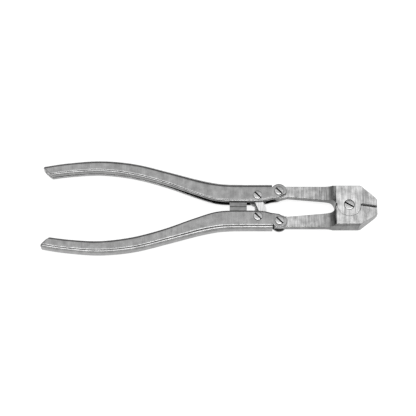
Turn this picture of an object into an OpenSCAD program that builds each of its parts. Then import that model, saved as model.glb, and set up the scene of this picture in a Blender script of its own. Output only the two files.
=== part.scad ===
// Compound-lever glass nippers of the grozing kind, 197.6 mm long.
// Two pressed-steel channel handles are joined by a link and a pair of toothed blocks, and each
// handle works one forged jaw lever. The levers cross in a lapped box joint behind the nose.
// +X runs from the grips to the nose, +Y to the side of the upper jaw, +Z out of the slotted
// screw heads. The origin is on the jaw pivot's axis, in the plane of the head's lower face.

/* [Head and jaws] */
// Thickness of the head, across both laps of the joint
head_t = 12.4; // [11:0.2:14]
// Distance from the jaw pivot to the end of the nose
nose_reach = 16.8; // [16:0.2:20]
// Half the width of the head
head_half_w = 12.6; // [12:0.2:14]
// Radius of the round boss of the lap joint
boss_r = 7; // [6.5:0.1:7]
// Depth of the teeth across the jaw faces
tooth_depth = 0.25; // [0.1:0.05:0.3]

/* [Jaw levers] */
// Thickness of the lever arms
lever_t = 4.6; // [4:0.1:4.6]
// Distance from the jaw pivot back to the lever pivots
lever_reach = 41; // [40:0.5:42]
// Distance of a lever pivot from the middle line
lever_pivot_y = 9.2; // [9:0.1:9.4]

/* [Handles] */
// Height of the pressed channel, outside both cheeks
channel_t = 8.8; // [8.6:0.1:9.6]
// Thickness of the sheet steel
sheet_t = 2; // [1.8:0.1:2]
// Distance of the back of the channel from the middle line, at the joint
back_y = 13.8; // [13.6:0.1:14]
// Radius of the fold along the back of the channel
fold_r = 2.6; // [2:0.1:3]
// Half the spread of the closed grips, at their widest
grip_half_spread = 28.7; // [26:0.1:32]

/* [Joint between the handles] */
// Distance from the jaw pivot back to the link's two pivots
link_reach = 53.6; // [53:0.1:54]
// Distance of a link pivot from the middle line, which is the pitch radius of the toothed blocks
link_pivot_y = 6.6; // [6.4:0.1:6.8]
// Radius of the link's eyes
link_eye_r = 4; // [3.6:0.1:4.2]

/* [Screws] */
// Radius of the shank of the handle screws
screw_r = 1.9; // [1.6:0.1:2]
// Radius of the head of the handle screws
screw_head_r = 2.6; // [2.4:0.1:2.8]
// Radius of the shank of the jaw pivot screw
pivot_r = 2.2; // [2:0.1:2.4]
// Radius of the head of the jaw pivot screw
pivot_head_r = 3; // [2.8:0.1:3.2]

/* [Hidden] */
$fn = 96;

mid_z = head_t / 2;
half_gap = channel_t / 2 - sheet_t;
slack = 0.05;
running = 0.04;
big = 60;

// Head and jaws: places along X, measured from the pivot.
head_back_x = -7.7;
throat_x = -11.3;
throat_r = 3.5;
nose_x = 7.4;
nose_lead = 1.7;
nose_edge_z = 2.9;
nose_tip_z = 2.2;
nose_tip_len = 1.4;
nose_half_w = 5.9;
nose_tip_half_w = 4.6;
shoulder_w = 0.9;
shoulder_z = 4;
ramp_r = 7.4;
jaw_tooth_pitch = 1;
jaw_bevel = 0.7;
head_sink = 1.6;

// Levers: the tail turns on a bush, and the inner edge leaves room for the levers to close in.
bush_r = 3;
tail_r = 4.3;
open_relief = 0.9;

// Handles: the ear has the lever pivot at its centre and meets the back of the channel.
ear_r = back_y - lever_pivot_y;
ear_inner = 4.2;
ear_root = 4.8;
back_wall_end_x = -45;
stop_x = [-70, -60];
stop_gap = 0.15;

// Each row is a station of the handle, from the grip's end to the ear:
// [outer x, outer y, inner x, inner y, extra fold radius, height of the lips].
tip_row = [-180.8, 24.3, -176.4, 20, 0.2, 1.8];
handle_rows = [
    [-180, 25.1, -175, 19.2, 0.5, 1.8],
    [-166, grip_half_spread - 1.4, -163, 20.7, 0.8, 1.8],
    [-146, grip_half_spread, -146, 21.5, 0.8, 1.8],
    [-126, grip_half_spread - 1.9, -127.4, 19.2, 0.8, 1.8],
    [-106, 21.7, -108.6, 14.1, 0.7, 1.4],
    [-88, 16.9, -91, 7.7, 0.4, 0.4],
    [-75, back_y + 0.5, -77.4, 3.5, 0.1, 0.3],
    [-62, back_y, -63, 2.8, 0, 0.3],
    [-51, back_y, -51, 3.1, 0, 0.3],
    [-lever_reach, back_y, -lever_reach, lever_pivot_y - ear_inner, 0, 0.3]
];
station_steps = 4;
fold_steps = 5;
edge_r = 1.2;
lip_t = 1.8;
lip_end_x = -80;
lip_cut_y = 8;
edge_steps = 3;

// Toothed blocks: stub involute teeth, twelve to the full circle.
gear_teeth = 12;
gear_module = 2 * link_pivot_y / gear_teeth;
gear_pressure = 25;
gear_addendum = 0.8 * gear_module;
gear_dedendum = 1.05 * gear_module;
gear_backlash_deg = 2.4;
opening_deg = 16;
flank_steps = 6;
block_t = 2.3;
block_fit = 0.08;

link_t = 2.25;
slot_w = 0.9;
slot_deg = -45;
pivot_slot_deg = -30;
screw_head_h = 0.9;
steel = [0.62, 0.62, 0.6];
bright = [0.78, 0.78, 0.76];
dark = [0.42, 0.42, 0.41];

// Catmull-Rom blend of four values at t from 0 to 1.
function spline(a, b, c, d, t) =
    b + 0.5 * t * ((c - a) + t * ((2 * a - 5 * b + 4 * c - d) + t * (3 * (b - c) + d - a)));

// Stations through rows, with steps to each span.
function through(rows, steps) = let (last = len(rows) - 1) concat(
    [for (i = [0 : last - 1], s = [0 : steps - 1])
        spline(rows[max(i - 1, 0)], rows[i], rows[i + 1], rows[min(i + 2, last)], s / steps)],
    [rows[last]]
);

function arc(centre, r, from, to, steps) =
    [for (i = [0 : steps]) let (a = from + (to - from) * i / steps)
        centre + r * [cos(a), sin(a)]];

// The channel's section as [depth in from the back, z], round the fold and back along the inside.
// depth runs from 0 at the back to width at the free edges, where lips of height lip turn in.
function channel_section(width, r, lip) = let (
    er = edge_r + 0.35 * lip,
    g = half_gap - lip,
    lip_x = width - lip_t
) concat(
    arc([width - er, channel_t / 2 - er], er, 0, 90, edge_steps),
    arc([r, channel_t / 2 - r], r, 90, 180, fold_steps),
    arc([r, r - channel_t / 2], r, 180, 270, fold_steps),
    arc([width - er, er - channel_t / 2], er, 270, 360, edge_steps),
    [[width, -g], [lip_x, -g], [lip_x, -half_gap], [sheet_t, -half_gap],
     [sheet_t, half_gap], [lip_x, half_gap], [lip_x, g], [width, g]]
);

// The section's lips, cheeks and back, each as a list of its points with a corner that sees all
// the others first. cheek and fold are the last points of the upper edge and fold arcs.
cheek = edge_steps;
fold = edge_steps + fold_steps + 1;
low_cheek = fold + fold_steps + 2;
lips = low_cheek + edge_steps + 1;
cap_faces = [
    concat([lips + 5, lips + 6, lips + 7], [for (j = [0 : cheek]) j]),
    concat([lips + 4, lips + 5], [for (j = [cheek : fold]) j]),
    [lips + 3, lips + 4, fold, fold + 1],
    concat([lips + 3], [for (j = [fold + 1 : low_cheek]) j], [lips + 2]),
    concat([lips + 2], [for (j = [low_cheek : lips - 1]) j], [lips, lips + 1])
];

// A point of a station's section in space: the section lies across the handle.
function station_points(row) = let (
    outer = [row[0], row[1]],
    inner = [row[2], row[3]],
    width = norm(inner - outer),
    across = (inner - outer) / width
) [for (p = channel_section(width, fold_r + row[4], row[5])) let (xy = outer + p[0] * across)
    [xy[0], xy[1], p[1]]];

module channel() {
    rows = concat([tip_row], through(handle_rows, station_steps));
    rings = [for (row = rows) station_points(row)];
    n = len(rings[0]);
    last = len(rings) - 1;
    points = [for (ring = rings, p = ring) p];
    walls = [for (i = [0 : last - 1], j = [0 : n - 1], half = [0, 1])
        let (a = i * n + j, b = i * n + (j + 1) % n)
        half == 0 ? [a, b, b + n] : [a, b + n, a + n]];
    start_cap = [for (f = cap_faces) concat([f[0]], [for (k = [len(f) - 1 : -1 : 1]) f[k]])];
    end_cap = [for (f = cap_faces) [for (j = f) last * n + j]];
    polyhedron(points, concat(walls, start_cap, end_cap));
}

// Both cheeks' ears: round about the lever pivot, and slanting back along the inner edge.
module ears() {
    pivot = [-lever_reach, lever_pivot_y];
    for (z = [-channel_t / 2, half_gap])
        translate([0, 0, z]) linear_extrude(sheet_t) polygon(concat(
            arc(pivot, ear_r, 90, -25, 24),
            [pivot + [2.4, -2.7], pivot + [0, -ear_inner], [back_wall_end_x, lever_pivot_y - ear_root],
             [back_wall_end_x, back_y]]
        ));
}

module through_hole(x, y, r) {
    translate([x, y, -big / 2]) cylinder(r = r, h = big);
}

// The handle on the +Y side, about the middle plane. Its screws screw into the lower cheek.
module handle() {
    difference() {
        union() {
            channel();
            ears();
        }
        translate([back_wall_end_x, 0, -half_gap]) cube([big, big, 2 * half_gap]);
        // near the joint there are no lips
        translate([lip_end_x, 0, -half_gap]) cube([big, lip_cut_y, 2 * half_gap]);
        through_hole(-lever_reach, lever_pivot_y, screw_r);
        through_hole(-link_reach, link_pivot_y, screw_r);
    }
}

// Shallow vee grooves across the jaw's face, from the tip back.
jaw_teeth = [for (x = [nose_reach - 0.6 : -jaw_tooth_pitch : boss_r + 1.5], k = [1, 0, -1])
    [x + k * tooth_depth, slack + (k == 0 ? tooth_depth : 0)]];

// Outline of a lever from above, its tail, arm and jaw, on the +Y side.
function lever_outline() = concat(
    arc([-lever_reach, lever_pivot_y], tail_r, 270, 100, 24),
    [[-lever_reach + 8, head_half_w], [nose_x - nose_lead, head_half_w],
     [nose_reach - nose_tip_len, nose_half_w], [nose_reach, nose_tip_half_w],
     [nose_reach, slack]],
    jaw_teeth,
    [[0, slack], [0, open_relief], [throat_x + throat_r, open_relief]],
    arc([throat_x, 0.5], throat_r, 6, 90, 10),
    [[-22, 5], [-lever_reach + 5, 6.2]]
);

// The upper half of the outline from the side, along X and up Z: arm, ramp, head and nose.
ramp_sweep = acos(1 - (mid_z - lever_t / 2) / ramp_r);
side_half = concat(
    [[-big, lever_t / 2]],
    arc([head_back_x - ramp_r * sin(ramp_sweep), lever_t / 2 + ramp_r], ramp_r, 270,
        270 + ramp_sweep, 10),
    [[nose_x, mid_z], [nose_reach - nose_tip_len, nose_edge_z], [nose_reach, nose_tip_z]]
);

module side_profile() {
    last = len(side_half) - 1;
    rotate([90, 0, 0]) translate([0, 0, -big / 2]) linear_extrude(big) polygon(concat(
        side_half, [for (i = [last : -1 : 0]) [side_half[i][0], -side_half[i][1]]]
    ));
}

// The head's section across X, with its sloping shoulders.
module shoulder_profile() {
    corner = [[head_half_w, shoulder_z], [head_half_w - shoulder_w, mid_z]];
    half = [corner[0], corner[1], [-corner[1][0], corner[1][1]], [-corner[0][0], corner[0][1]]];
    rotate([90, 0, 90]) translate([0, 0, -big]) linear_extrude(2 * big)
        polygon(concat(half, [for (p = half) -p]));
}

// A jaw lever on the +Y side, its boss in the upper lap, about the middle plane.
module jaw_lever(bore_r, sunk_head) {
    difference() {
        union() {
            intersection() {
                translate([0, 0, -mid_z]) linear_extrude(head_t) polygon(lever_outline());
                side_profile();
                shoulder_profile();
            }
            translate([0, 0, running]) cylinder(r = boss_r, h = mid_z - running);
        }
        // the recess in which the other lever's boss turns
        translate([0, 0, -big]) cylinder(r = boss_r + slack, h = big + running);
        through_hole(0, 0, bore_r);
        if (sunk_head)
            translate([0, 0, mid_z - head_sink]) cylinder(r = pivot_head_r + 0.1, h = big);
        through_hole(-lever_reach, lever_pivot_y, bush_r + (sunk_head ? 0.12 : running));
        jaw_bevels();
    }
}

// Bevels along the jaw's inner edges, which follow the slope of the nose.
module jaw_bevels() {
    slope = atan2(mid_z - nose_edge_z, nose_reach - nose_tip_len - nose_x);
    for (side = [-1, 1])
        translate([nose_x, 0, side * mid_z]) rotate([0, side * slope, 0])
            rotate([45, 0, 0]) translate([-0.6, -jaw_bevel / sqrt(2), -jaw_bevel / sqrt(2)])
                cube([big, jaw_bevel * sqrt(2), jaw_bevel * sqrt(2)]);
}

// A slotted cheese-head screw. Its head starts at z = 0 and its shank runs down.
module slotted_screw(r, length, head_r, head_h, angle) {
    dome = head_r * 2.4;
    difference() {
        union() {
            translate([0, 0, -length]) cylinder(r = r, h = length);
            intersection() {
                cylinder(r = head_r, h = head_h);
                translate([0, 0, head_h - dome]) sphere(r = dome);
            }
        }
        rotate([0, 0, angle]) translate([-head_r - 1, -slot_w / 2, head_h * 0.35])
            cube([2 * head_r + 2, slot_w, head_h]);
    }
}

module handle_screw(x, y) {
    translate([x, y, channel_t / 2])
        slotted_screw(screw_r, channel_t, screw_head_r, screw_head_h, slot_deg);
}

// Point of the involute of base radius base at roll angle a, in degrees.
function involute(base, a) = base * [cos(a) + a * PI / 180 * sin(a), sin(a) - a * PI / 180 * cos(a)];

// One tooth about the +Y direction, from inside the root to the tip.
function tooth_outline() = let (
    base = link_pivot_y * cos(gear_pressure),
    tip = link_pivot_y + gear_addendum,
    root = link_pivot_y - gear_dedendum,
    roll = function (r) r <= base ? 0 : sqrt(pow(r / base, 2) - 1) * 180 / PI,
    turn = tan(gear_pressure) * 180 / PI - gear_pressure,
    half = 90 / gear_teeth - gear_backlash_deg / 4 + turn,
    flank = [for (i = [0 : flank_steps])
        let (p = involute(base, roll(base + (tip - base) * i / flank_steps)), a = atan2(p[1], p[0]))
        norm(p) * [sin(half - a), cos(half - a)]],
    foot = (root - 0.6) * [sin(half + 3), cos(half + 3)]
) concat([foot], flank, [for (i = [flank_steps : -1 : 0]) [-flank[i][0], flank[i][1]]],
    [[-foot[0], foot[1]]]);

// A toothed block about its own pivot, its teeth towards +Y and its back on the channel's wall.
// Each angle is that of a tooth, from +Y towards +X.
module toothed_block(angles) {
    root = link_pivot_y - gear_dedendum;
    back = back_y - sheet_t - link_pivot_y - block_fit;
    difference() {
        translate([0, 0, -half_gap]) linear_extrude(block_t) {
            difference() {
                circle(r = root);
                translate([-big / 2, -big]) square([big, big]);
            }
            translate([-root, -back]) square([2 * root, back]);
            for (a = angles) rotate(-a) polygon(tooth_outline());
        }
        through_hole(0, 0, screw_r);
    }
}

// Centre line of the link: it bows out ahead of its pivots, more on the lower side.
link_line = through([
    [-link_reach, link_pivot_y], [-52.9, 3.5], [-51.1, -0.9], [-50.8, -4],
    [-link_reach, -link_pivot_y]
], 4);
link_half_w = 2.3;

module handle_link() {
    color(bright) translate([0, 0, mid_z + half_gap - link_t - slack]) difference() {
        union() {
            for (s = [-1, 1])
                translate([-link_reach, s * link_pivot_y, 0]) cylinder(r = link_eye_r, h = link_t);
            linear_extrude(link_t) polygon(concat(
                [for (i = [0 : len(link_line) - 1]) link_edge(i, 1)],
                [for (i = [len(link_line) - 1 : -1 : 0]) link_edge(i, -1)]
            ));
        }
        for (s = [-1, 1]) through_hole(-link_reach, s * link_pivot_y, screw_r + running);
    }
}

function link_edge(i, side) = let (
    a = link_line[max(i - 1, 0)],
    b = link_line[min(i + 1, len(link_line) - 1)],
    along = (b - a) / norm(b - a)
) link_line[i] + side * link_half_w * [-along[1], along[0]];

module at_mid() {
    translate([0, 0, mid_z]) children();
}

module upper_jaw_lever() {
    color(steel) at_mid() jaw_lever(pivot_r + running, true);
}

module lower_jaw_lever() {
    color(steel) at_mid() rotate([180, 0, 0]) jaw_lever(pivot_r, false);
}

module jaw_pivot_screw() {
    color(bright) translate([0, 0, head_t - head_sink])
        slotted_screw(pivot_r, head_t - head_sink, pivot_head_r, head_sink + 0.1,
            pivot_slot_deg);
}

module upper_handle() {
    color(steel) at_mid() handle();
}

module lower_handle() {
    color(steel) at_mid() mirror([0, 1, 0]) handle();
}

module upper_toothed_block() {
    color(dark) translate([-link_reach, link_pivot_y, mid_z]) mirror([0, 1, 0])
        toothed_block([for (k = [-0.5, 0.5]) opening_deg / 2 + k * 360 / gear_teeth]);
}

module lower_toothed_block() {
    color(dark) translate([-link_reach, -link_pivot_y, mid_z]) toothed_block([opening_deg / 2]);
}

module stop_block() {
    translate([stop_x[0], stop_gap, -half_gap])
        cube([stop_x[1] - stop_x[0], back_y - sheet_t - stop_gap - block_fit, 2 * half_gap]);
}

module upper_stop_block() {
    color(dark) at_mid() stop_block();
}

module lower_stop_block() {
    color(dark) at_mid() mirror([0, 1, 0]) stop_block();
}

module lever_bush(y) {
    color(bright) translate([-lever_reach, y, mid_z - half_gap]) difference() {
        cylinder(r = bush_r, h = 2 * half_gap);
        translate([0, 0, -1]) cylinder(r = screw_r, h = big);
    }
}

module upper_lever_bush() {
    lever_bush(lever_pivot_y);
}

module lower_lever_bush() {
    lever_bush(-lever_pivot_y);
}

module upper_link_screw() {
    color(bright) at_mid() handle_screw(-link_reach, link_pivot_y);
}

module lower_link_screw() {
    color(bright) at_mid() handle_screw(-link_reach, -link_pivot_y);
}

module upper_lever_screw() {
    color(bright) at_mid() handle_screw(-lever_reach, lever_pivot_y);
}

module lower_lever_screw() {
    color(bright) at_mid() handle_screw(-lever_reach, -lever_pivot_y);
}

upper_jaw_lever();
lower_jaw_lever();
jaw_pivot_screw();
upper_handle();
lower_handle();
handle_link();
upper_toothed_block();
lower_toothed_block();
upper_stop_block();
lower_stop_block();
upper_link_screw();
lower_link_screw();
upper_lever_screw();
lower_lever_screw();
upper_lever_bush();
lower_lever_bush();
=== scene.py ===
import math

import bmesh
import bpy
from mathutils import Matrix, Vector


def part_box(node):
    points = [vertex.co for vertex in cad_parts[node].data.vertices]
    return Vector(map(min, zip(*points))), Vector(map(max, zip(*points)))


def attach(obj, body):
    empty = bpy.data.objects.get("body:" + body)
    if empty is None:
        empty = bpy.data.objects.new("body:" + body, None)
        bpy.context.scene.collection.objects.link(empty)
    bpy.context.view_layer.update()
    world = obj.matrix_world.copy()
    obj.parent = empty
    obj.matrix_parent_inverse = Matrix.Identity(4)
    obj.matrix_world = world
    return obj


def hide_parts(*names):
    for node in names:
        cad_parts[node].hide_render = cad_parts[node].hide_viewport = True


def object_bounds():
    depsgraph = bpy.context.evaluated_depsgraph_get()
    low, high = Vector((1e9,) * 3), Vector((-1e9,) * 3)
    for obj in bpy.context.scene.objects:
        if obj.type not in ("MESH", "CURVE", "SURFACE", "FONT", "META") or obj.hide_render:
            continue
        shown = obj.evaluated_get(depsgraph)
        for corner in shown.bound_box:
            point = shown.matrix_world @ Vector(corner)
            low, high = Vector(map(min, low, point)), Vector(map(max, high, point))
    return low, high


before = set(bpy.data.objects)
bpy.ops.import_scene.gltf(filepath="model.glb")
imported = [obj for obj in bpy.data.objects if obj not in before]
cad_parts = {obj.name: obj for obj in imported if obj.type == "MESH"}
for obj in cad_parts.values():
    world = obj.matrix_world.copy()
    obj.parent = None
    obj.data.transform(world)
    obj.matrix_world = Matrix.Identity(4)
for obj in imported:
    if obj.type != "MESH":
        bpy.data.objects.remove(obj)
cad_low, cad_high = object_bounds()
MM = 0.001

# ---------------------------------------------------------------- places, from the frame, in mm


def centre_of(node):
    low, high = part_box(node)
    return (low + high) / 2 / MM


MID_Z = centre_of("upper_handle").z
HEAD_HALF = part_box("upper_jaw_lever")[1].z / MM - MID_Z
CHANNEL_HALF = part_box("upper_handle")[1].z / MM - MID_Z
LEVER_PIVOT = centre_of("upper_lever_bush").xy
LINK_PIVOT = centre_of("upper_link_screw").xy
SCREW_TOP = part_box("upper_link_screw")[1].z / MM - MID_Z
NOSE_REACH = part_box("upper_jaw_lever")[1].x / MM
HEAD_HALF_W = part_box("upper_jaw_lever")[1].y / MM

# where the head's flat faces end towards the arms
HEAD_BACK = -7.7

# ---------------------------------------------------------------- shapes


def spline(a, b, c, d, t):
    """Catmull-Rom blend of four rows of numbers at t from 0 to 1."""
    return [
        q + 0.5 * t * ((r - p) + t * ((2 * p - 5 * q + 4 * r - s) + t * (3 * (q - r) + s - p)))
        for p, q, r, s in zip(a, b, c, d)
    ]


def through(rows, steps):
    last = len(rows) - 1
    out = [
        spline(rows[max(i - 1, 0)], rows[i], rows[i + 1], rows[min(i + 2, last)], s / steps)
        for i in range(last)
        for s in range(steps)
    ]
    return out + [list(rows[last])]


def arc(centre, r, start, end, steps):
    """Points round a centre, with the angles in degrees."""
    angles = [math.radians(start + (end - start) * i / steps) for i in range(steps + 1)]
    return [(centre[0] + r * math.cos(a), centre[1] + r * math.sin(a)) for a in angles]


def new_mesh(name, verts, faces):
    mesh = bpy.data.meshes.new(name)
    mesh.from_pydata([tuple(v) for v in verts], [], faces)
    bm = bmesh.new()
    bm.from_mesh(mesh)
    bmesh.ops.recalc_face_normals(bm, faces=bm.faces)
    bm.to_mesh(mesh)
    bm.free()
    return mesh


def new_object(name, mesh):
    obj = bpy.data.objects.new(name, mesh)
    bpy.context.collection.objects.link(obj)
    return obj


def prism(outline, low, high, axes="xyz"):
    """A closed outline drawn on the first two axes and run along the third from low to high."""
    order = ["xyz".index(c) for c in axes]
    n = len(outline)
    verts = []
    for height in (low, high):
        for p in outline:
            v = [0, 0, 0]
            v[order[0]], v[order[1]], v[order[2]] = p[0], p[1], height
            verts.append(v)
    sides = [(i, (i + 1) % n, n + (i + 1) % n, n + i) for i in range(n)]
    return new_mesh("prism", verts, [tuple(range(n)), tuple(range(n, 2 * n))] + sides)


def disc(x, y, r, low, high, steps=96):
    return prism(arc((x, y), r, 0, 360 - 360 / steps, steps - 1), low, high)


def baked(obj):
    """The object's mesh with its modifiers applied; the object is removed."""
    depsgraph = bpy.context.evaluated_depsgraph_get()
    mesh = bpy.data.meshes.new_from_object(obj.evaluated_get(depsgraph))
    bpy.data.objects.remove(obj)
    return mesh


def combine(base, tools, operation):
    """The base mesh joined with, cut by or kept inside each tool mesh in turn."""
    obj = new_object("base", base)
    helpers = []
    for tool in tools:
        helper = new_object("tool", tool)
        helpers.append(helper)
        mod = obj.modifiers.new("cut", "BOOLEAN")
        mod.operation = operation
        mod.solver = "EXACT"
        mod.object = helper
    bpy.context.view_layer.update()
    mesh = baked(obj)
    for helper in helpers:
        bpy.data.objects.remove(helper)
    return mesh


MERGE_DISTANCE = 0.004
FLAT_ANGLE = math.radians(0.5)


def eased(mesh, width, angle=30):
    """The mesh with its sharp edges rounded."""
    bm = bmesh.new()
    bm.from_mesh(mesh)
    bmesh.ops.remove_doubles(bm, verts=bm.verts, dist=MERGE_DISTANCE)
    bmesh.ops.dissolve_limit(bm, angle_limit=FLAT_ANGLE, verts=bm.verts, edges=bm.edges)
    bm.to_mesh(mesh)
    bm.free()
    obj = new_object("eased", mesh)
    mod = obj.modifiers.new("ease", "BEVEL")
    mod.width = width
    mod.segments = 2
    mod.limit_method = "ANGLE"
    mod.angle_limit = math.radians(angle)
    mod.use_clamp_overlap = False
    mod.miter_outer = "MITER_ARC"
    bpy.context.view_layer.update()
    return baked(obj)


def moved(mesh, x=0.0, y=0.0, z=0.0, mirror_y=False, half_turn=False):
    matrix = Matrix.Translation((x, y, z))
    if half_turn:
        matrix = matrix @ Matrix.Rotation(math.pi, 4, "X")
    if mirror_y:
        matrix = matrix @ Matrix.Scale(-1, 4, (0, 1, 0))
    mesh.transform(matrix)
    if mirror_y:
        mesh.flip_normals()
    return mesh


SMOOTH_ANGLE = math.radians(32)


def piece(name, mesh, body, material, *nodes, painted_shadow=None):
    """Finishes a mesh in millimetres about the middle plane as a piece that stands for nodes.

    grime is a second material, a near-black painted shadow, for the faces with material index 1.
    """
    mesh.name = name
    mesh.transform(Matrix.Scale(MM, 4) @ Matrix.Translation((0, 0, MID_Z)))
    mesh.polygons.foreach_set("use_smooth", [True] * len(mesh.polygons))
    mesh.set_sharp_from_angle(angle=SMOOTH_ANGLE)
    mesh.materials.append(material)
    if painted_shadow:
        mesh.materials.append(painted_shadow)
    obj = new_object(name, mesh)
    even = obj.modifiers.new("even", "WEIGHTED_NORMAL")
    even.keep_sharp = True
    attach(obj, body)
    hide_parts(*nodes)
    return obj


# ---------------------------------------------------------------- materials


class Nodes:
    """A short way to write a node material."""

    def __init__(self, name):
        self.material = bpy.data.materials.new(name)
        self.material.use_nodes = True
        self.tree = self.material.node_tree
        self.shader = self.tree.nodes["Principled BSDF"]
        self.place = self.add("ShaderNodeTexCoord").outputs["Object"]

    def add(self, kind, **settings):
        node = self.tree.nodes.new(kind)
        for key, value in settings.items():
            setattr(node, key, value)
        return node

    def link(self, a, b):
        self.tree.links.new(a, b)

    def noise(self, scale, detail, stretch=(1, 1, 1)):
        """Noise with about scale features to the metre, stretched along an axis by 1 / stretch."""
        mapping = self.add("ShaderNodeMapping")
        mapping.inputs["Scale"].default_value = stretch
        self.link(self.place, mapping.inputs["Vector"])
        tex = self.add("ShaderNodeTexNoise")
        tex.inputs["Scale"].default_value = scale
        tex.inputs["Detail"].default_value = detail
        tex.inputs["Roughness"].default_value = 0.6
        self.link(mapping.outputs["Vector"], tex.inputs["Vector"])
        return tex.outputs["Fac"]

    def ramp(self, value, *stops):
        node = self.add("ShaderNodeValToRGB")
        elements = node.color_ramp.elements
        while len(elements) < len(stops):
            elements.new(0.5)
        for element, (where, level) in zip(elements, stops):
            element.position = where
            element.color = (level, level, level, 1)
        self.link(value, node.inputs["Fac"])
        return node.outputs["Color"]

    def blend(self, a, b, amount=1.0):
        """a darkened by b, by the given amount."""
        node = self.add("ShaderNodeMix", data_type="RGBA", blend_type="MULTIPLY")
        node.inputs["Factor"].default_value = amount
        self.link(a, node.inputs[6])
        self.link(b, node.inputs[7])
        return node.outputs[2]

    def crevice(self, distance, low):
        """Painted shade: 1 on open surfaces, down to low deep in a gap narrower than distance,
        where shade falls.
        """
        node = self.add("ShaderNodeAmbientOcclusion")
        node.samples = 8
        node.inputs["Distance"].default_value = distance
        return self.ramp(node.outputs["AO"], (0.25, low), (0.8, 1.0))

    def along_lever(self, *stops):
        """Levels at places along X, as (place in mm, level). The end ones carry on outwards."""
        split = self.add("ShaderNodeSeparateXYZ")
        self.link(self.place, split.inputs["Vector"])
        low, high = stops[0][0], stops[-1][0]
        place = self.add("ShaderNodeMapRange")
        self.link(split.outputs["X"], place.inputs["Value"])
        place.inputs["From Min"].default_value = low * MM
        place.inputs["From Max"].default_value = high * MM
        return self.ramp(
            place.outputs["Result"], *[((x - low) / (high - low), level) for x, level in stops]
        )

    def upright_shade(self, low):
        """Painted shade by tilt: 1 on faces that look up or down, and low on the upright ones."""
        split = self.add("ShaderNodeSeparateXYZ")
        self.link(self.add("ShaderNodeNewGeometry").outputs["Normal"], split.inputs["Vector"])
        away = self.add("ShaderNodeMath", operation="ABSOLUTE")
        self.link(split.outputs["Z"], away.inputs[0])
        return self.ramp(away.outputs[0], (0.3, low), (0.8, 1.0))

    def outer_faces(self, level):
        """level on the head's two flat faces and 1 elsewhere, from the height off the middle."""
        split = self.add("ShaderNodeSeparateXYZ")
        self.link(self.place, split.inputs["Vector"])
        height = self.add("ShaderNodeMath", operation="SUBTRACT")
        self.link(split.outputs["Z"], height.inputs[0])
        height.inputs[1].default_value = MID_Z * MM
        away = self.add("ShaderNodeMath", operation="ABSOLUTE")
        self.link(height.outputs[0], away.inputs[0])
        flat = self.add("ShaderNodeMath", operation="GREATER_THAN")
        self.link(away.outputs[0], flat.inputs[0])
        flat.inputs[1].default_value = (HEAD_HALF - 0.06) * MM
        gain = self.add("ShaderNodeMath", operation="MULTIPLY_ADD")
        self.link(flat.outputs[0], gain.inputs[0])
        gain.inputs[1].default_value = level - 1
        gain.inputs[2].default_value = 1.0
        return gain.outputs[0]

    def bump(self, *layers):
        """layers are (value, strength, distance in metres)."""
        normal = None
        for value, strength, distance in layers:
            node = self.add("ShaderNodeBump")
            node.inputs["Strength"].default_value = strength
            node.inputs["Distance"].default_value = distance
            self.link(value, node.inputs["Height"])
            if normal is not None:
                self.link(normal, node.inputs["Normal"])
            normal = node.outputs["Normal"]
        self.link(normal, self.shader.inputs["Normal"])


def steel(
    name, slot, level, rough, grain, depth, streak=1.0, cloud=0.25, crevice_shade=0.3, side=1.0, ground=None
):
    """Ground or plated steel. grain is the noise stretch that sets which way the lines run, and
    streak how strongly they show. side is how bright the upright faces stay under their painted
    shade, and ground the flat faces on both sides of the head."""
    n = Nodes(name)
    lines = n.noise(1500, 4, grain)
    clouds = n.noise(260, 5)
    specks = n.noise(2600, 3)
    level_of = n.ramp(
        lines, (0.3, level * (1 - 0.38 * streak)), (0.5, level), (0.7, level * (1 + 0.35 * streak))
    )
    level_of = n.blend(level_of, n.ramp(clouds, (0.3, 1 - cloud), (0.65, 1.0)))
    level_of = n.blend(level_of, n.ramp(specks, (0.28, 0.45), (0.36, 1.0)), amount=0.6)
    # painted shade: darker deep in narrow gaps and between parts, where shade falls
    level_of = n.blend(level_of, n.crevice(0.0013, crevice_shade))
    # painted shade: the upright faces darker than the flat ones, by their tilt
    level_of = n.blend(level_of, n.upright_shade(side))
    if ground:
        # painted shade: the arms are darker towards the head and darkest on the ramp up to the
        # head's flat faces, as that ramp turns away from the light
        scale = n.along_lever((-36, 1.0), (-24, 0.85), (-12, 0.6), (HEAD_BACK, 0.6), (-7, 0.85))
        level_of = n.blend(n.blend(level_of, scale), n.outer_faces(ground))
    n.link(level_of, n.shader.inputs["Base Color"])
    n.link(
        n.ramp(clouds, (0.3, rough * 1.25), (0.7, rough * 0.85)),
        n.shader.inputs["Roughness"],
    )
    n.shader.inputs["Metallic"].default_value = 1.0
    n.bump((lines, 0.25 * streak, depth), (clouds, 0.15, 0.00006), (specks, 0.2, 0.00001))
    n.material["slot"] = slot
    return n.material


ACROSS = (1, 0.06, 0.06)
ALONG = (0.06, 1, 1)
EVEN = (1, 1, 1)
handle_steel = steel(
    "handle_steel", "handle_steel", 0.38, 0.19, ACROSS, 0.00002, streak=0.3, cloud=0.35, side=0.7
)
lever_steel = steel(
    "lever_steel",
    "lever_steel",
    0.62,
    0.22,
    ACROSS,
    0.00002,
    cloud=0.45,
    crevice_shade=0.6,
    side=0.3,
    ground=1.3,
)
screw_steel = steel(
    "screw_steel", "screw_steel", 0.5, 0.22, EVEN, 0.00001, cloud=0.15, crevice_shade=0.1, side=0.5
)
# a near-black painted shadow for the faces deep in the screw slots
slot_shadow = steel("slot_shadow", "screw_steel", 0.03, 0.6, EVEN, 0.00002)
link_steel = steel("link_steel", "link_steel", 0.75, 0.3, ACROSS, 0.00002, cloud=0.1, side=0.6)
block_steel = steel("block_steel", "block_steel", 0.3, 0.4, ALONG, 0.00003, cloud=0.3)

# ---------------------------------------------------------------- handles

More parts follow.
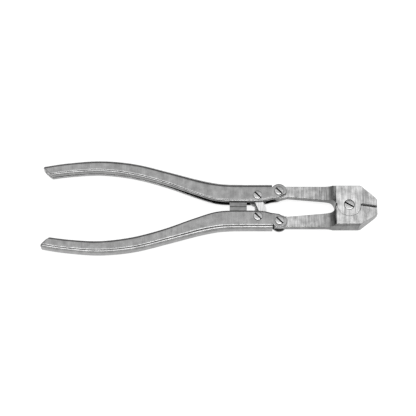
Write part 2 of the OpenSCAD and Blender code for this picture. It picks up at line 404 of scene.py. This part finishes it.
SHEET = 2.0
HALF_GAP = CHANNEL_HALF - SHEET
FOLD_R = 2.6
EDGE_R = 1.2
LIP_T = 1.8
LIP_END, LIP_CUT_Y = -80, 8
EAR_EDGE_R = 0.9
EAR_STEPS, EAR_END = 26, math.radians(84)
CAVITY_R = 0.7
BACK_Y = 13.8
EAR_R = BACK_Y - LEVER_PIVOT.y
BACK_WALL_END = -45.0

# outer x, outer y, inner x, inner y, extra fold radius, height of the lips
GRIP_ROWS = [
    [-180, 25.1, -175, 19.2, 0.5, 1.8],
    [-166, 27.3, -163, 20.7, 0.8, 1.8],
    [-146, 28.7, -146, 21.5, 0.8, 1.8],
    [-126, 26.8, -127.4, 19.2, 0.8, 1.8],
    [-106, 21.7, -108.6, 14.1, 0.7, 1.4],
    [-88, 16.9, -91, 7.7, 0.4, 0.4],
    [-75, 14.3, -77.4, 3.5, 0.1, 0.3],
    [-62, 13.8, -63, 2.8, 0, 0.3],
    [-51, 13.8, -51, 3.1, 0, 0.3],
    [-45, 13.8, -45, 4.4, 0, 0.3],
]
TIP_ROW = [-180.8, 24.3, -176.4, 20, 0.2, 1.8]


def channel_ring(row, fold_r, inset=0.0, free_edge=EDGE_R, drop=0.0):
    """One section of the channel, its edges rounded, as points in space."""
    outer, inner = Vector(row[0:2]), Vector(row[2:4])
    width = (inner - outer).length
    across = (inner - outer) / width
    top, gap, wall = CHANNEL_HALF - inset - drop, HALF_GAP + inset, min(SHEET, width * 0.4) - inset
    end = width - inset
    fold = min(fold_r, width * 0.3)
    edge = min(free_edge + 0.35 * row[5], (top - gap) * 0.95, width * 0.3)
    lip_x, mouth = end - min(LIP_T, width * 0.3), gap - row[5]
    lip = min(0.3, row[5] * 0.45, (end - lip_x) * 0.3)
    hollow = min(CAVITY_R, width * 0.1)
    corner, bend = 4, 10
    section = (
        arc((end - edge, top - edge), edge, 0, 90, corner)
        + arc((inset + fold, top - fold), fold, 90, 180, bend)
        + arc((inset + fold, fold - top), fold, 180, 270, bend)
        + arc((end - edge, edge - top), edge, 270, 360, corner)
        + arc((end - lip, -mouth - lip), lip, 0, 90, corner)
        + arc((lip_x + lip, -mouth - lip), lip, 90, 180, corner)
        + arc((lip_x - lip, lip - gap), lip, 360, 270, corner)
        + arc((wall + hollow, hollow - gap), hollow, 270, 180, corner)
        + arc((wall + hollow, gap - hollow), hollow, 180, 90, corner)
        + arc((lip_x - lip, gap - lip), lip, 90, 0, corner)
        + arc((lip_x + lip, mouth + lip), lip, 180, 270, corner)
        + arc((end - lip, mouth + lip), lip, 270, 360, corner)
    )
    return [(*(outer + depth * across), z) for depth, z in section]


def ear_inner_edge(x):
    """How far the ear's slanting inner edge is from the middle line at x."""
    px, py = LEVER_PIVOT
    edge = [(BACK_WALL_END, py - 4.8), (px, py - 4.2), (px + 2.4, py - 2.7)]
    edge += [(px + 4.17, py - 1.94), (px + EAR_R, py)]
    for (xa, ya), (xb, yb) in zip(edge, edge[1:]):
        if x <= xb:
            return ya + (yb - ya) * (x - xa) / (xb - xa)
    return py


def handle_mesh():
    path = through(GRIP_ROWS, 12)
    start = path[0]
    rings = []
    for t, inset in ((0, 0.55), (0.12, 0.28), (0.4, 0.08), (0.75, 0.0)):
        row = [a + (b - a) * t for a, b in zip(TIP_ROW, start)]
        rings.append(channel_ring(row, FOLD_R + row[4], inset))
    rings += [channel_ring(row, FOLD_R + row[4]) for row in path]
    # the cheeks go on to the ears, round their pivot and with a plain cut edge
    first = math.asin((BACK_WALL_END + 0.03 - LEVER_PIVOT.x) / EAR_R)
    for i in range(EAR_STEPS + 1):
        a = first + (EAR_END - first) * i / EAR_STEPS
        x = LEVER_PIVOT.x + EAR_R * math.sin(a)
        outer = LEVER_PIVOT.y + EAR_R * math.cos(a)
        short = max(0.0, EAR_EDGE_R - EAR_R * (1 - math.sin(a)))
        drop = EAR_EDGE_R - math.sqrt(EAR_EDGE_R**2 - short**2)
        row = [x, outer, x, ear_inner_edge(x), 0, 0.3]
        rings.append(channel_ring(row, EAR_EDGE_R, free_edge=EAR_EDGE_R, drop=drop * 0.9))
    n = len(rings[0])
    verts = [p for ring in rings for p in ring]
    faces = [
        (i * n + j, i * n + (j + 1) % n, (i + 1) * n + (j + 1) % n, (i + 1) * n + j)
        for i in range(len(rings) - 1)
        for j in range(n)
    ]
    faces += [tuple(range(n)), tuple(range((len(rings) - 1) * n, len(rings) * n))]
    whole = new_mesh("handle", verts, faces)
    mouth = [(BACK_WALL_END, 0), (0, 0), (0, 30), (BACK_WALL_END, 30)]
    plain = [(LIP_END, 0), (0, 0), (0, LIP_CUT_Y), (LIP_END, LIP_CUT_Y)]
    cuts = [prism(outline, -HALF_GAP, HALF_GAP) for outline in (mouth, plain)]
    return combine(whole, cuts, "DIFFERENCE")


piece("upper_handle_shell", handle_mesh(), "upper_handle", handle_steel, "upper_handle")
piece(
    "lower_handle_shell",
    moved(handle_mesh(), mirror_y=True),
    "lower_handle",
    handle_steel,
    "lower_handle",
)

# ---------------------------------------------------------------- jaw levers

LEVER_HALF = 2.3
TAIL_R = 4.3
BUSH_R = 3.0
BOSS_R = 7.0
PIVOT_R = 2.2
PIVOT_HEAD_R = 3.0
HEAD_SINK = 1.6
RAMP_R = 7.4
THROAT_X, THROAT_Y, THROAT_R = -11.3, 0.5, 3.5
NOSE_X = 7.4
NOSE_TIP_LEN = 1.4
NOSE_LEAD = 1.7
NOSE_EDGE_Z, NOSE_TIP_Z = 2.9, 2.2
NOSE_HALF_W, NOSE_TIP_HALF_W = 5.9, 4.6
SHOULDER_Z, SHOULDER_W = 4.0, 0.9
JAW_BEVEL = 0.7
TOOTH_DEPTH, TOOTH_PITCH = 0.25, 1.0
SLACK, RELIEF = 0.05, 0.9
LAP_Z = 0.04
PIVOT_SLACK, BUSH_SLACK, SINK_SLACK = 0.04, 0.08, 0.12
LEVER_EASE = 0.22
BIG = 60.0


def lever_outline():
    x, y = LEVER_PIVOT
    throat_start = math.degrees(math.asin((RELIEF - THROAT_Y) / THROAT_R))
    return (
        arc((x, y), TAIL_R, 270, 100, 28)
        + [
            (x + 8, HEAD_HALF_W),
            (NOSE_X - NOSE_LEAD, HEAD_HALF_W),
            (NOSE_REACH - NOSE_TIP_LEN, NOSE_HALF_W),
            (NOSE_REACH, NOSE_TIP_HALF_W),
            (NOSE_REACH, SLACK),
            (0, SLACK),
            (0, RELIEF),
        ]
        + arc((THROAT_X, THROAT_Y), THROAT_R, throat_start, 90, 12)
        + [(-22, 5), (x + 5, 6.2)]
    )


def side_outline():
    sweep = math.degrees(math.acos(1 - (HEAD_HALF - LEVER_HALF) / RAMP_R))
    start = HEAD_BACK - RAMP_R * math.sin(math.radians(sweep))
    top = (
        [(-BIG, LEVER_HALF)]
        + arc((start, LEVER_HALF + RAMP_R), RAMP_R, 270, 270 + sweep, 14)
        + [
            (NOSE_X, HEAD_HALF),
            (NOSE_REACH - NOSE_TIP_LEN, NOSE_EDGE_Z),
            (NOSE_REACH, NOSE_TIP_Z),
        ]
    )
    return top + [(x, -z) for x, z in reversed(top)]


def shoulder_outline():
    corner = [(HEAD_HALF_W, SHOULDER_Z), (HEAD_HALF_W - SHOULDER_W, HEAD_HALF)]
    half = corner + [(-y, z) for y, z in reversed(corner)]
    return half + [(-y, -z) for y, z in half]


def jaw_bevel(side):
    """A square bar laid on edge along the sloping inner edge of the nose."""
    reach = NOSE_REACH - NOSE_TIP_LEN - NOSE_X
    slope = math.atan2(HEAD_HALF - NOSE_EDGE_Z, reach)
    h = JAW_BEVEL
    bar = prism([(-h, 0), (0, -h), (h, 0), (0, h)], -0.6, BIG, "yzx")
    bar.transform(
        Matrix.Translation((NOSE_X, 0, side * HEAD_HALF)) @ Matrix.Rotation(side * slope, 4, "Y")
    )
    return bar


def teeth():
    """One comb of vee bars, which cuts the grooves of a jaw's face."""
    x = NOSE_REACH - 0.6
    bars = []
    while x > BOSS_R + 1.5:
        d = TOOTH_DEPTH
        bars.append(prism([(x - 2 * d, SLACK - d), (x + 2 * d, SLACK - d), (x, SLACK + d)], -8, 8))
        x -= TOOTH_PITCH
    return bars


def lever_mesh(sunk_head):
    blank = combine(
        prism(lever_outline(), -HEAD_HALF, HEAD_HALF),
        [prism(side_outline(), -BIG, BIG, "xzy"), prism(shoulder_outline(), -BIG, BIG, "yzx")],
        "INTERSECT",
    )
    blank = combine(blank, [disc(0, 0, BOSS_R, LAP_Z, HEAD_HALF)], "UNION")
    cuts = [
        disc(0, 0, BOSS_R + SLACK, -BIG, LAP_Z),
        disc(0, 0, PIVOT_R + (PIVOT_SLACK if sunk_head else 0), -BIG, BIG),
        disc(*LEVER_PIVOT, BUSH_R + BUSH_SLACK, -BIG, BIG, 48),
        jaw_bevel(1),
        jaw_bevel(-1),
    ]
    if sunk_head:
        cuts.append(disc(0, 0, PIVOT_HEAD_R + SINK_SLACK, HEAD_HALF - HEAD_SINK, BIG))
    body = eased(combine(blank, cuts, "DIFFERENCE"), LEVER_EASE)
    return combine(body, teeth(), "DIFFERENCE")


piece("upper_jaw", lever_mesh(True), "upper_jaw", lever_steel, "upper_jaw_lever")
piece(
    "lower_jaw",
    moved(lever_mesh(False), half_turn=True),
    "lower_jaw",
    lever_steel,
    "lower_jaw_lever",
)

# ---------------------------------------------------------------- screws


SHANK_R, SCREW_HEAD_R = 1.9, 2.6
SLOT_W = 0.9
HANDLE_SLOT, PIVOT_SLOT = -45, -30


def screw_mesh(shank_r, length, head_r, head_h, dome, slot_depth, angle):
    """A slotted screw with a domed head. Its head starts at z = 0 and its shank runs down.

    The faces deep in the slot get material index 1, which carries a near-black painted shadow.
    """
    rim = 0.22
    profile = (
        [(0, -length), (shank_r - 0.25, -length), (shank_r, -length + 0.25)]
        + [(shank_r, 0), (head_r - 0.1, 0), (head_r, 0.1)]
        + arc((head_r - rim, head_h - dome - rim), rim, 0, 80, 4)
        + [(head_r * f, head_h - dome * f * f) for f in (0.75, 0.5, 0.25)]
        + [(0, head_h)]
    )
    steps = 64
    verts, rings = [], []
    for r, z in profile:
        if r == 0:
            rings.append([len(verts)])
            verts.append((0, 0, z))
            continue
        rings.append(list(range(len(verts), len(verts) + steps)))
        verts += [(p[0], p[1], z) for p in arc((0, 0), r, 0, 360 - 360 / steps, steps - 1)]
    faces = []
    for low, high in zip(rings, rings[1:]):
        for i in range(steps):
            j = (i + 1) % steps
            quad = [low[i % len(low)], low[j % len(low)], high[j % len(high)], high[i % len(high)]]
            faces.append(tuple(dict.fromkeys(quad)))
    half = SLOT_W / 2
    slot = prism(
        [(-head_r - 1, -half), (head_r + 1, -half), (head_r + 1, half), (-head_r - 1, half)],
        head_h - slot_depth,
        head_h + 1,
    )
    slot.transform(Matrix.Rotation(math.radians(angle), 4, "Z"))
    mesh = eased(combine(new_mesh("screw", verts, faces), [slot], "DIFFERENCE"), 0.05, angle=40)
    across = Vector((-math.sin(math.radians(angle)), math.cos(math.radians(angle)), 0))
    # the faces deep in the slot take the painted shadow material
    for face in mesh.polygons:
        in_slot = abs(face.center.dot(across)) < half + 0.01 and face.center.z > 0
        face.material_index = int(in_slot and face.center.z < head_h - dome - 0.05)
    return mesh


for half, sign in (("upper", 1), ("lower", -1)):
    for where, spot in (("link", LINK_PIVOT), ("lever", LEVER_PIVOT)):
        body = half + "_handle"
        node = f"{half}_{where}_screw"
        head_h = SCREW_TOP - CHANNEL_HALF
        mesh = screw_mesh(
            SHANK_R, 2 * CHANNEL_HALF, SCREW_HEAD_R, head_h, 0.2, 0.75, HANDLE_SLOT
        )
        moved(mesh, spot.x, sign * spot.y, CHANNEL_HALF)
        piece(node + "_slotted", mesh, body, screw_steel, node, painted_shadow=slot_shadow)

mesh = screw_mesh(
    PIVOT_R, 2 * HEAD_HALF - HEAD_SINK, PIVOT_HEAD_R, HEAD_SINK + 0.1, 0.25, 1.2, PIVOT_SLOT
)
piece(
    "jaw_pivot_slotted",
    moved(mesh, z=HEAD_HALF - HEAD_SINK),
    "lower_jaw",
    screw_steel,
    "jaw_pivot_screw",
    painted_shadow=slot_shadow,
)

# ---------------------------------------------------------------- link

LINK_T = 2.25
LINK_EYE_R = 4.0
LINK_HALF_W = 2.3
LINK_HOLE_R = SHANK_R + 0.04
link_line = through(
    [
        (LINK_PIVOT.x, LINK_PIVOT.y),
        (-52.9, 3.5),
        (-51.1, -0.9),
        (-50.8, -4),
        (LINK_PIVOT.x, -LINK_PIVOT.y),
    ],
    8,
)


def link_edge(i, side):
    a = Vector(link_line[max(i - 1, 0)])
    b = Vector(link_line[min(i + 1, len(link_line) - 1)])
    along = (b - a).normalized()
    return Vector(link_line[i]) + side * LINK_HALF_W * Vector((-along.y, along.x))


low_z = HALF_GAP - LINK_T - 0.05
high_z = HALF_GAP - 0.05
count = len(link_line)
strip = [link_edge(i, 1) for i in range(count)] + [link_edge(i, -1) for i in reversed(range(count))]
link = combine(
    prism(strip, low_z, high_z),
    [disc(LINK_PIVOT.x, s * LINK_PIVOT.y, LINK_EYE_R, low_z, high_z) for s in (1, -1)],
    "UNION",
)
link = combine(
    link,
    [disc(LINK_PIVOT.x, s * LINK_PIVOT.y, LINK_HOLE_R, -9, 9, 48) for s in (1, -1)],
    "DIFFERENCE",
)
piece("handle_link_plate", eased(link, 0.2), "link", link_steel, "handle_link")

# ---------------------------------------------------------------- blocks and bushes

for half in ("upper", "lower"):
    for part in ("stop_block", "toothed_block", "lever_bush"):
        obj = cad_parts[f"{half}_{part}"]
        obj.data.materials.clear()
        obj.data.materials.append(block_steel)

# ---------------------------------------------------------------- floor, light and camera

floor_mesh = bpy.data.meshes.new("floor")
FLOOR = 3.0
floor_mesh.from_pydata(
    [(-FLOOR, -FLOOR, 0), (FLOOR, -FLOOR, 0), (FLOOR, FLOOR, 0), (-FLOOR, FLOOR, 0)],
    [],
    [(0, 1, 2, 3)],
)
floor = new_object("floor", floor_mesh)
floor.location.z = cad_low.z - 0.0002
paper = bpy.data.materials.new("pale_floor")
paper.use_nodes = True
# part of the floor's white is its own light, so that it stays white between the tool's arms
paper_shader = paper.node_tree.nodes["Principled BSDF"]
paper_shader.inputs["Base Color"].default_value = (0.35, 0.35, 0.35, 1)
paper_shader.inputs["Roughness"].default_value = 0.9
paper_shader.inputs["Emission Color"].default_value = (1, 1, 1, 1)
paper_shader.inputs["Emission Strength"].default_value = 0.84
floor_mesh.materials.append(paper)

world = bpy.data.worlds.new("studio")
bpy.context.scene.world = world
world.use_nodes = True
sky = world.node_tree
direction = sky.nodes.new("ShaderNodeTexCoord")
split = sky.nodes.new("ShaderNodeSeparateXYZ")
sky.links.new(direction.outputs["Generated"], split.inputs["Vector"])


def sky_level(axis, levels):
    """Brightness by one part of the direction, as (place from 0 to 1, level)."""
    node = sky.nodes.new("ShaderNodeValToRGB")
    while len(node.color_ramp.elements) < len(levels):
        node.color_ramp.elements.new(0.5)
    for element, (place, level) in zip(node.color_ramp.elements, levels):
        element.position = place
        element.color = (level, level, level, 1)
    sky.links.new(axis, node.inputs["Fac"])
    return node.outputs["Color"]


# a pale ceiling, which comes further down behind the tool than before it, where a dark band
# parts it from a paler wall
upward = sky_level(split.outputs["Z"], ((0.0, 0.25), (0.45, 0.28), (0.7, 0.6), (0.85, 1.0)))
halved = sky.nodes.new("ShaderNodeMath")
halved.operation = "MULTIPLY_ADD"
sky.links.new(split.outputs["Y"], halved.inputs[0])
halved.inputs[1].default_value = 0.5
halved.inputs[2].default_value = 0.5
sideways = sky_level(
    halved.outputs[0],
    ((0.0, 0.9), (0.12, 0.7), (0.25, 0.08), (0.36, 0.3), (0.42, 1.0), (0.7, 0.8), (0.9, 0.4)),
)
ceiling = sky.nodes.new("ShaderNodeMix")
ceiling.data_type = "RGBA"
ceiling.blend_type = "MULTIPLY"
ceiling.inputs["Factor"].default_value = 1.0
sky.links.new(upward, ceiling.inputs[6])
sky.links.new(sideways, ceiling.inputs[7])
sky.links.new(ceiling.outputs[2], sky.nodes["Background"].inputs["Color"])
sky.nodes["Background"].inputs["Strength"].default_value = 1.35


def soft_light(name, place, aim, size, power):
    data = bpy.data.lights.new(name, "AREA")
    data.shape = "RECTANGLE"
    data.size, data.size_y = size
    data.energy = power
    obj = bpy.data.objects.new(name, data)
    bpy.context.collection.objects.link(obj)
    obj.location = place
    obj.rotation_mode = "QUATERNION"
    obj.rotation_quaternion = (Vector(aim) - Vector(place)).to_track_quat("-Z", "Y")


middle = Vector((-0.0828, 0, MID_Z * MM))
soft_light("front", (-0.08, -1.0, 0.5), middle, (1.4, 0.38), 6)
soft_light("overhead", (-0.08, -0.13, 1.1), middle, (1.4, 0.16), 2.5)
soft_light("side", (0.85, 0.25, 0.62), middle, (0.5, 0.6), 0.8)

camera_data = bpy.data.cameras.new("camera")
camera_data.lens = 120
camera_data.sensor_width = 36
camera = bpy.data.objects.new("camera", camera_data)
bpy.context.collection.objects.link(camera)
bpy.context.scene.camera = camera
VIEW_WIDTH = 0.2454
ELEVATION = math.radians(70)
distance = VIEW_WIDTH / 2 / (camera_data.sensor_width / 2 / camera_data.lens)
back = Vector((0, -math.cos(ELEVATION), math.sin(ELEVATION)))
camera.location = middle + back * distance
camera.rotation_mode = "QUATERNION"
camera.rotation_quaternion = (-back).to_track_quat("-Z", "Y")
camera_data.clip_start, camera_data.clip_end = 0.01, 20

bpy.context.scene.view_settings.view_transform = "Standard"
